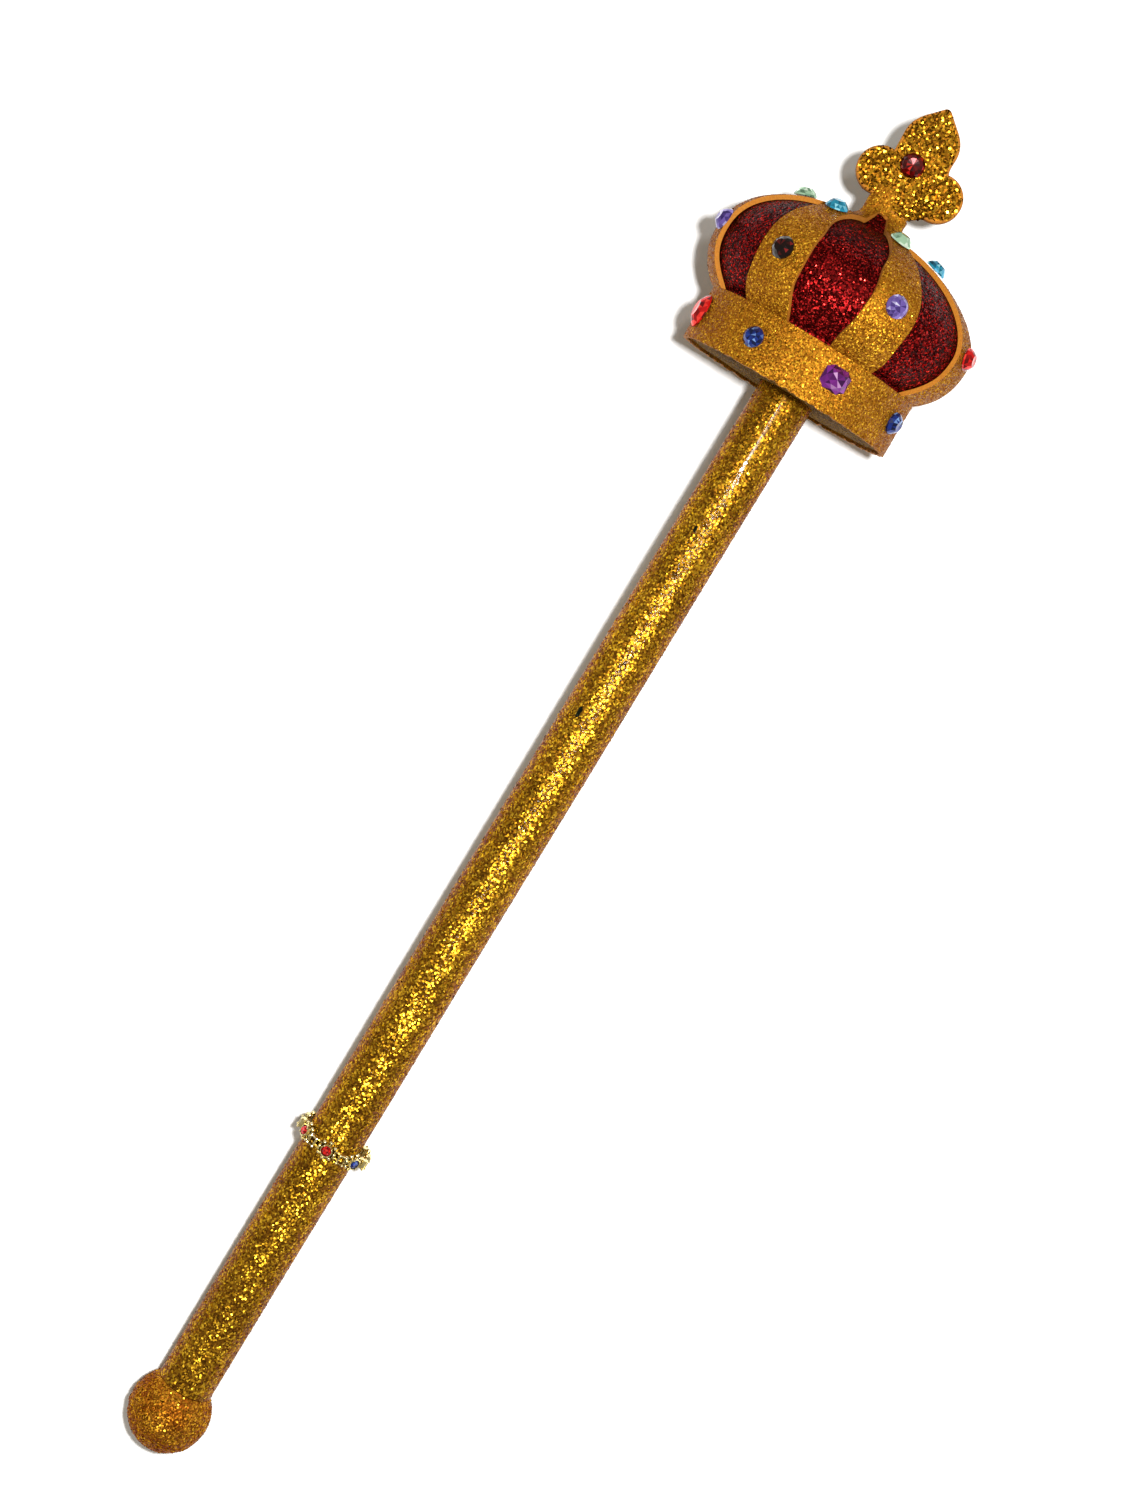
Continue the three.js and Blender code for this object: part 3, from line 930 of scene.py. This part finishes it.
def makeFinial():
    # The outline carried over a rounded edge from the front face to the back one.
    line = finialOutline()
    ahead = np.roll(line, -1, 0) - np.roll(line, 1, 0)
    ahead /= np.linalg.norm(ahead, axis=1)[:, None]
    outward = np.stack([ahead[:, 1], -ahead[:, 0]], -1)
    half = finial["thickness"] / 2
    front = [(inset, half - depth) for inset, depth in finial["edge"]]
    rows = front + [(inset, -z) for inset, z in reversed(front)]
    grid = []
    for inset, z in rows:
        flat = line - inset * outward
        high, right = flat[:, 1] + finial["foot"], crown["lean"][1] - flat[:, 0]
        grid.append(np.stack([high, right, np.full(len(flat), z)], -1))
    grid = carried(np.array(grid), crownPlace, staffPlace)
    rowCount, columns = grid.shape[:2]
    faces = gridFaces(rowCount, columns)[:, ::-1].tolist()
    faces.append(list(range(columns)))
    faces.append(list(range(rowCount * columns - 1, (rowCount - 1) * columns - 1, -1)))
    mesh = newMesh("trefoil", grid.reshape(-1, 3), faces)
    caps = np.zeros(len(mesh.polygons), np.int32)
    caps[:-2] = 1
    mesh.polygons.foreach_set("material_index", caps)
    mesh.polygons.foreach_set("use_smooth", caps.astype(bool))
    material = glitterFinish("finialGlitter", finial["look"])[0]
    putIn(mesh, "finial_gold", [material, cutEdge], "trefoil_finial")
    addFlakes("finial_flakes", "finial_gold", "finialFlakes", mesh, finial, 15, onFaces)
    print("finial made")


makeFinial()


gems = {
    "height": 3,
    "round": 8.2,
    "sides": 14,
    "navetteSides": 16,
    "navettePower": 1.25,
    "seatOff": 0.35,  # the back's middle stands this far off a sloping skin
    # facet rings of a round stone: share of the width, share of the height, half steps turned
    "cut": ((1, 0, 0), (1, 0.2, 0), (0.82, 0.58, 1), (0.52, 0.94, 0)),
    "sunk": 0.06,  # how far the table's middle lies below its rim
    "band": (
        ("navette_red", "red", -71, 9.8, 12.4, 9),
        ("blue", "blue", -27, 9.6, 7.6, 7.6),
        ("octagon_amethyst", "amethyst", 17, 11.4, 8.6, 10),
        ("blue_right", "blue", 64, 10.6, 8.2, 8.2),
        ("red_back", "red", 122, 10.2, 8.2, 8.2),
        ("violet_under", "violet", 174, 10.4, 8.2, 8.2),
        ("blue_back", "blue", 228, 10, 8.2, 8.2),
    ),
    "rib": (
        ("1", "violet", -72, 40.4),
        ("2", "garnet", -30, 39.2),
        ("3", "violet", 19.5, 41.5),
        ("4", "red", 69, 42),
        ("5", "blue", 124, 41),
        ("7", "garnet", 227.5, 41),
    ),
    "shoulder": (
        ("1", "green", -80.5, 62.6),
        ("2", "teal", -32, 62),
        ("3", "green", 21, 63.4),
        ("4", "teal", 70, 63.2),
        ("5", "green", 124, 63),
        ("6", "teal", 178, 63),
        ("7", "teal", 227.5, 63),
    ),
    "colours": {  # deep tone, bright facet with a painted reflection, brightest painted glint
        "red": ((0.10, 0.001, 0.002), (0.72, 0.008, 0.008), (1.0, 0.06, 0.04)),
        "ruby": ((0.02, 0.001, 0.001), (0.13, 0.003, 0.003), (0.85, 0.03, 0.02)),
        "garnet": ((0.003, 0.0005, 0.001), (0.010, 0.001, 0.001), (0.22, 0.010, 0.010)),
        "blue": ((0.003, 0.006, 0.035), (0.010, 0.030, 0.22), (0.25, 0.45, 0.90)),
        "violet": ((0.04, 0.02, 0.15), (0.17, 0.11, 0.42), (0.75, 0.72, 0.95)),
        "amethyst": ((0.03, 0.002, 0.045), (0.20, 0.02, 0.25), (0.85, 0.50, 0.85)),
        "teal": ((0.004, 0.07, 0.13), (0.02, 0.32, 0.50), (0.35, 0.80, 0.92)),
        "green": ((0.10, 0.20, 0.12), (0.38, 0.60, 0.40), (0.80, 0.95, 0.80)),
    },
}


def gemFinish(colour):
    # Foil-backed acrylic under a clear polished face; each facet takes a random tone, from the stone's
    # deep colour to bright painted reflections of the light inside the stone.
    values = {"Metallic": 0.55, "Roughness": 0.16, "Coat Weight": 0.35, "Coat Roughness": 0.03}
    material, tree, shader = newFinish(colour + "Acrylic", **values)
    tone = addNode(tree, "Attribute", attribute_name="facetToneAndGlint").outputs["Fac"]
    deep, bright, brightest = gems["colours"][colour]
    # The bright and brightest stops are painted reflections and glints.
    stops = [(0.0, deep), (0.55, bright), (0.8, bright), (1.0, brightest)]
    tree.links.new(colourRamp(tree, tone, stops), shader.inputs["Base Color"])
    return material


gemFinishes = {colour: gemFinish(colour) for colour in gems["colours"]}


def gemOutline(shape, sides):
    # Unit outline of a stone: round, pointed at both ends, or a cut-cornered oblong.
    if shape == "octagon":
        corner = np.array([(0.5, 0.27), (0.3, 0.5)])
        four = [corner * s for s in ((1, 1), (-1, 1), (-1, -1), (1, -1))]
        return np.concatenate([four[0], four[1][::-1], four[2], four[3][::-1]])
    t = 2 * math.pi * np.arange(sides) / sides
    across = np.sin(t)
    if shape == "navette":
        across = np.sign(across) * np.abs(across) ** gems["navettePower"]
    return np.stack([np.cos(t), across], -1) / 2


def cutGem(name, shape, length, width, height, sides, place, seed):
    # Rings of facets from the girdle to the table, each ring turned by half a step.
    base = gemOutline(shape, sides)
    count = len(base)
    between = (base + np.roll(base, -1, 0)) / 2
    rings = []
    for share, level, turned in gems["cut"]:
        ring = (between if turned else base) * share
        rings.append(np.column_stack([ring * (length, width), np.full(count, level * height)]))
    crownMiddle = [[0, 0, (gems["cut"][-1][1] - gems["sunk"]) * height]]
    points = np.concatenate([*rings, crownMiddle])
    i = np.arange(count)
    after = (i + 1) % count
    bottom, girdle, bezel, table = (count * k for k in range(4))
    walls = np.stack([bottom + i, bottom + after, girdle + after, girdle + i], -1)
    star = [(girdle + i, girdle + after, bezel + i), (bezel + i, girdle + after, bezel + after)]
    star += [(bezel + i, bezel + after, table + after), (table + i, bezel + i, table + after)]
    star += [(table + i, table + after, np.full(count, 4 * count))]
    facets = np.concatenate([np.stack(s, -1) for s in star])
    faces = walls.tolist() + facets.tolist() + [list(range(count - 1, -1, -1))]
    mesh = newMesh(name, carried(points, *place), faces, smooth=False)
    # A random tone for each facet; the high ones are painted reflections.
    rng = np.random.default_rng(seed)
    tones = rng.random(len(mesh.polygons)) ** 1.3
    tone = mesh.attributes.new("facetToneAndGlint", "FLOAT", "FACE")
    tone.data.foreach_set("value", tones.astype(np.float32))
    return mesh


def seatOnCrown(angle, height):
    # The place of a stone's flat back: on the skin, turned to its slope.
    radius = float(np.interp(height, crownHeights, crownRadii))
    slope, reach = 0.0, 0.8
    if height > crown["bandHeight"]:
        near = np.interp([height - reach, height + reach], crownHeights, crownRadii)
        slope = float(near[1] - near[0]) / (2 * reach)
    tilt = math.degrees(math.atan2(-slope, 1))
    radius += gems["seatOff"] / math.cos(math.radians(tilt))
    a = math.radians(angle)
    spot = [height, float(leanAt(height)) - radius * math.sin(a), radius * math.cos(a)]
    return turnAbout("x", angle) @ turnAbout("y", tilt), np.array(spot)


def makeGems():
    # Band stones, then one stone of one size for each rib and shoulder, then the finial's.
    stones = []
    for name, colour, angle, height, length, width in gems["band"]:
        stones.append(("band_gem_" + name, colour, angle, height, length, width))
    for kind in ("rib", "shoulder"):
        for name, colour, angle, height in gems[kind]:
            size = gems["round"]
            stones.append((f"{kind}_gem_{name}", colour, angle, height, size, size))
    for number, (name, colour, angle, height, length, width) in enumerate(stones):
        shape = next((s for s in ("navette", "octagon") if s in name), "round")
        sides = gems["navetteSides"] if shape == "navette" else gems["sides"]
        place = (seatOnCrown(angle, height), crownPlace, staffPlace)
        mesh = cutGem(
            name + "_cut", shape, length, width, gems["height"], sides, place, 60 + number
        )
        putIn(mesh, "gem_" + colour, [gemFinishes[colour]], name)
    up, across, off, size = finial["gem"]
    spot = [finial["foot"] + up, crown["lean"][1] + across, finial["thickness"] / 2 + off]
    place = ((np.eye(3), np.array(spot)), crownPlace, staffPlace)
    mesh = cutGem("finial_gem_cut", "round", size, size, gems["height"], gems["sides"], place, 95)
    putIn(mesh, "gem_red", [gemFinishes["ruby"]], "finial_gem")
    print(len(stones) + 1, "stones set")


makeGems()


chain = {
    "place": (117.2, -0.5, -0.6),
    "tilt": (5, 2.5),
    "inner": 11.7,
    "settings": 7,
    "start": -3,
    "petals": 8,
    "petalRing": 3.0,
    "petal": 0.85,
    "petalRise": 0.85,
    # radius and height round each closed section
    "cup": ((1.55, 0.5), (2.55, 0.3), (2.65, 0.9), (2.3, 2.2), (2.25, 2.5), (1.95, 2.45), (1.85, 1.2)),
    "plate": ((0.3, 0.2), (2.7, 0.2), (2.7, 0.75), (0.3, 0.75)),
    "prong": 0.42,
    "prongPlace": (2.1, 2.5),  # radius and height
    "stone": (4, 1.7),  # width and height
    "stoneSides": 8,
    "stoneSeat": 1.5,  # above the links' inner side
    "linkHalf": (1.75, 1.4),
    "linkWall": 0.42,
    "linkHeight": 3.1,
    "bars": (1.15, 3.1, 0.75, 0.42),  # place across, half length, height and radius
    "linkBead": 0.5,
    "sharp": 40,
    "colours": ("red", "blue", "garnet"),
}
chainTurn = turnAbout("y", -chain["tilt"][0]) @ turnAbout("z", -chain["tilt"][1])
chainPlace = (chainTurn, np.array(chain["place"]))


def chainSpot(angle):
    # A place on the ring's inner side, turned to face outwards.
    return (turnAbout("x", angle), turnAbout("x", angle) @ [0, 0, chain["inner"]])


def bead(radius, middle, rows=5, columns=8):
    # A small sphere of rings round Z, its poles closed.
    turn = np.linspace(0.25, math.pi - 0.25, rows)[:, None]
    a = np.radians(anglesOf(columns))
    z = radius * np.cos(math.pi - turn) + 0 * a
    grid = np.stack([radius * np.sin(turn) * np.sin(-a), radius * np.sin(turn) * np.cos(a), z], -1)
    points = np.concatenate([grid.reshape(-1, 3), [[0, 0, -radius], [0, 0, radius]]])
    return points + middle, cappedFaces(rows, columns)


def turnedRing(profile, columns=20):
    # A closed section of radius and height turned round Z.
    a = np.radians(anglesOf(columns))
    r, z = np.array(profile)[:, :1], np.array(profile)[:, 1:]
    grid = np.stack([r * np.sin(-a), r * np.cos(a), z + 0 * a], -1)
    return grid.reshape(-1, 3), gridFaces(len(profile), columns, loop=True).tolist()


def linkBox():
    # A square collar, open outwards: its section turned round a rounded oblong.
    a = np.radians(np.arange(0, 360, 15))[None]
    length, width = chain["linkHalf"]
    wall, high = chain["linkWall"], chain["linkHeight"]
    section = np.array([(wall, 0.1), (0.06, 0.1), (0, 0.3), (0, high - 0.15), (0.12, high)])
    section = np.concatenate([section, [(wall, high), (wall + 0.1, high - 0.2)]])
    blunt = np.maximum(np.abs(np.sin(a)), np.abs(np.cos(a))) ** 0.86
    inset, z = section[:, :1], section[:, 1:]
    grid = np.stack(
        [(length - inset) * np.sin(-a) / blunt, (width - inset) * np.cos(a) / blunt, z + 0 * a], -1
    )
    return grid.reshape(-1, 3), gridFaces(len(section), a.shape[1], loop=True)[:, ::-1].tolist()


def rod(start, end, radius, columns=8):
    # A short round bar between two points, its ends closed.
    start, end = np.array(start, float), np.array(end, float)
    line = (end - start) / np.linalg.norm(end - start)
    side = np.cross(line, [0, 0, 1.0])
    side /= np.linalg.norm(side)
    a = np.linspace(0, 2 * math.pi, columns, endpoint=False)[:, None]
    ring = radius * (np.cos(a) * side + np.sin(a) * np.cross(line, side))
    points = np.concatenate([start + ring, end + ring, [start, end]])
    around = np.arange(columns)
    faces = gridFaces(2, columns)[:, ::-1].tolist()
    faces += poleFaces(around, 2 * columns, False).tolist()
    faces += poleFaces(columns + around, 2 * columns + 1, True).tolist()
    return points, faces


def roundSpot(turn, radius, height):
    # A place on a circle round Z.
    return [radius * math.cos(turn), radius * math.sin(turn), height]


def settingParts():
    # A flower of beads round a cup with four prongs.
    parts = [turnedRing(chain["cup"]), turnedRing(chain["plate"])]
    for i in range(chain["petals"]):
        turn = 2 * math.pi * i / chain["petals"]
        parts.append(bead(chain["petal"], roundSpot(turn, chain["petalRing"], chain["petalRise"])))
    for i in range(4):
        turn = math.pi / 2 * (i + 0.5)
        parts.append(bead(chain["prong"], roundSpot(turn, *chain["prongPlace"]), 4, 6))
    return parts


def linkParts():
    # A box link, its two bars, and a bead at each corner.
    parts = [linkBox()]
    length, width = chain["linkHalf"]
    across, half, high, radius = chain["bars"]
    for x in (-across, across):
        parts.append(rod([x, -half, high], [x, half, high], radius))
    for x in (-length, length):
        for y in (-width, width):
            corner = [0.9 * x, 0.9 * y, chain["linkHeight"] - 0.15]
            parts.append(bead(chain["linkBead"], corner, 4, 6))
    return parts


def chainMetal():
    # Bright pale gold with painted shade: darker in the hollows, where ambient occlusion finds them.
    material, tree, shader = newFinish("chainGold", Metallic=1.0)
    place = addNode(tree, "TexCoord").outputs["Object"]
    patch = addNode(tree, "TexNoise", {"Vector": place, "Scale": 700.0, "Detail": 3.0})
    # Painted shade: the colour runs from dark brown in the hollows to pale gold on the open parts.
    occlusionShade = addNode(tree, "AmbientOcclusion", {"Distance": 0.0018})
    depth = mapRange(tree, occlusionShade.outputs["AO"], 0.35, 0.95, 0, 1)
    stops = [(0.0, (0.10, 0.06, 0.012)), (0.5, (0.62, 0.46, 0.14)), (1.0, (0.93, 0.80, 0.40))]
    tree.links.new(colourRamp(tree, depth, stops), shader.inputs["Base Color"])
    rough = mapRange(tree, patch.outputs["Fac"], 0.3, 0.7, 0.14, 0.32)
    tree.links.new(rough, shader.inputs["Roughness"])
    return material


def makeChain():
    # Settings and links by turns round the ring, half a step apart, all in one mesh.
    points, faces, total = [], [], 0
    pitch = 360 / chain["settings"]
    for i in range(chain["settings"]):
        angle = chain["start"] + i * pitch
        for parts, spot in ((settingParts(), angle), (linkParts(), angle + pitch / 2)):
            for partPoints, partFaces in parts:
                points.append(carried(partPoints, chainSpot(spot), chainPlace, staffPlace))
                faces += [[corner + total for corner in face] for face in partFaces]
                total += len(partPoints)
        turned = turnAbout("x", angle)
        seat = turned @ [0, 0, chain["inner"] + chain["stoneSeat"]]
        place = ((turned, seat), chainPlace, staffPlace)
        colour = chain["colours"][i % len(chain["colours"])]
        name = f"chain_stone_{i + 1}"
        width, height = chain["stone"]
        sides = chain["stoneSides"]
        stone = cutGem(name + "_cut", "round", width, width, height, sides, place, 100 + i)
        putIn(stone, "gem_" + colour, [gemFinishes[colour]], name)
    mesh = newMesh("chain_links", np.concatenate(points), faces, sharp=chain["sharp"])
    putIn(mesh, "chain_gold", [chainMetal()], "chain_ring")
    print("chain made,", len(mesh.polygons), "faces")


makeChain()


studio = {
    "lens": 58.3,
    "sensor": 36,
    "camera": (282.7, -0.55, 903),  # along the staff from the ball's centre, across it, height
    "cameraTurn": -58.71,  # degrees
    # lamps: along the staff, across it, height, width and power
    "lamps": {"key": (350, -72, 935, 52, 13), "top": (423, -130, 2700, 150, 7)},
    "fill": 0.31,
    "fillColour": (1.0, 0.94, 0.80),
    "floorHalf": 6000,
    "floorFinish": {"Base Color": (0.9, 0.9, 0.9, 1), "Roughness": 0.9, "Specular IOR Level": 0.1},
}


def standAt(thing, name, along, across, height):
    # Places are taken from the ball's centre; heights from the floor.
    piece = bpy.data.objects.new(name, thing)
    origin = staffPlace[1]
    spot = np.array([origin[0] + along, origin[1] + across, height])
    piece.location = spot * millimetre
    bpy.context.scene.collection.objects.link(piece)
    return piece


def makeStudio():
    # A square floor, two round lamps, an even fill from all sides and the camera looking down.
    scene = bpy.context.scene
    corners = np.array([(-1, -1, 0), (1, -1, 0), (1, 1, 0), (-1, 1, 0)]) * studio["floorHalf"]
    floorMesh = newMesh("floor", corners, [[0, 1, 2, 3]])
    floorMesh.materials.append(newFinish("paleFloor", **studio["floorFinish"])[0])
    floor = bpy.data.objects.new("floor", floorMesh)
    scene.collection.objects.link(floor)

    for name, (along, across, height, width, power) in studio["lamps"].items():
        light = bpy.data.lights.new(name, "AREA")
        light.shape = "DISK"
        light.size = width * millimetre
        light.energy = power
        standAt(light, name, along, across, height)

    world = bpy.data.worlds.new("studio")
    world.use_nodes = True
    background = world.node_tree.nodes["Background"]
    background.inputs["Color"].default_value = (*studio["fillColour"], 1)
    background.inputs["Strength"].default_value = studio["fill"]
    scene.world = world

    lens = bpy.data.cameras.new("camera")
    lens.lens = studio["lens"]
    lens.sensor_width = studio["sensor"]
    camera = standAt(lens, "camera", *studio["camera"])
    camera.rotation_euler = (0, 0, math.radians(studio["cameraTurn"]))
    scene.camera = camera
    scene.view_settings.view_transform = "Standard"
    print("studio set")


makeStudio()
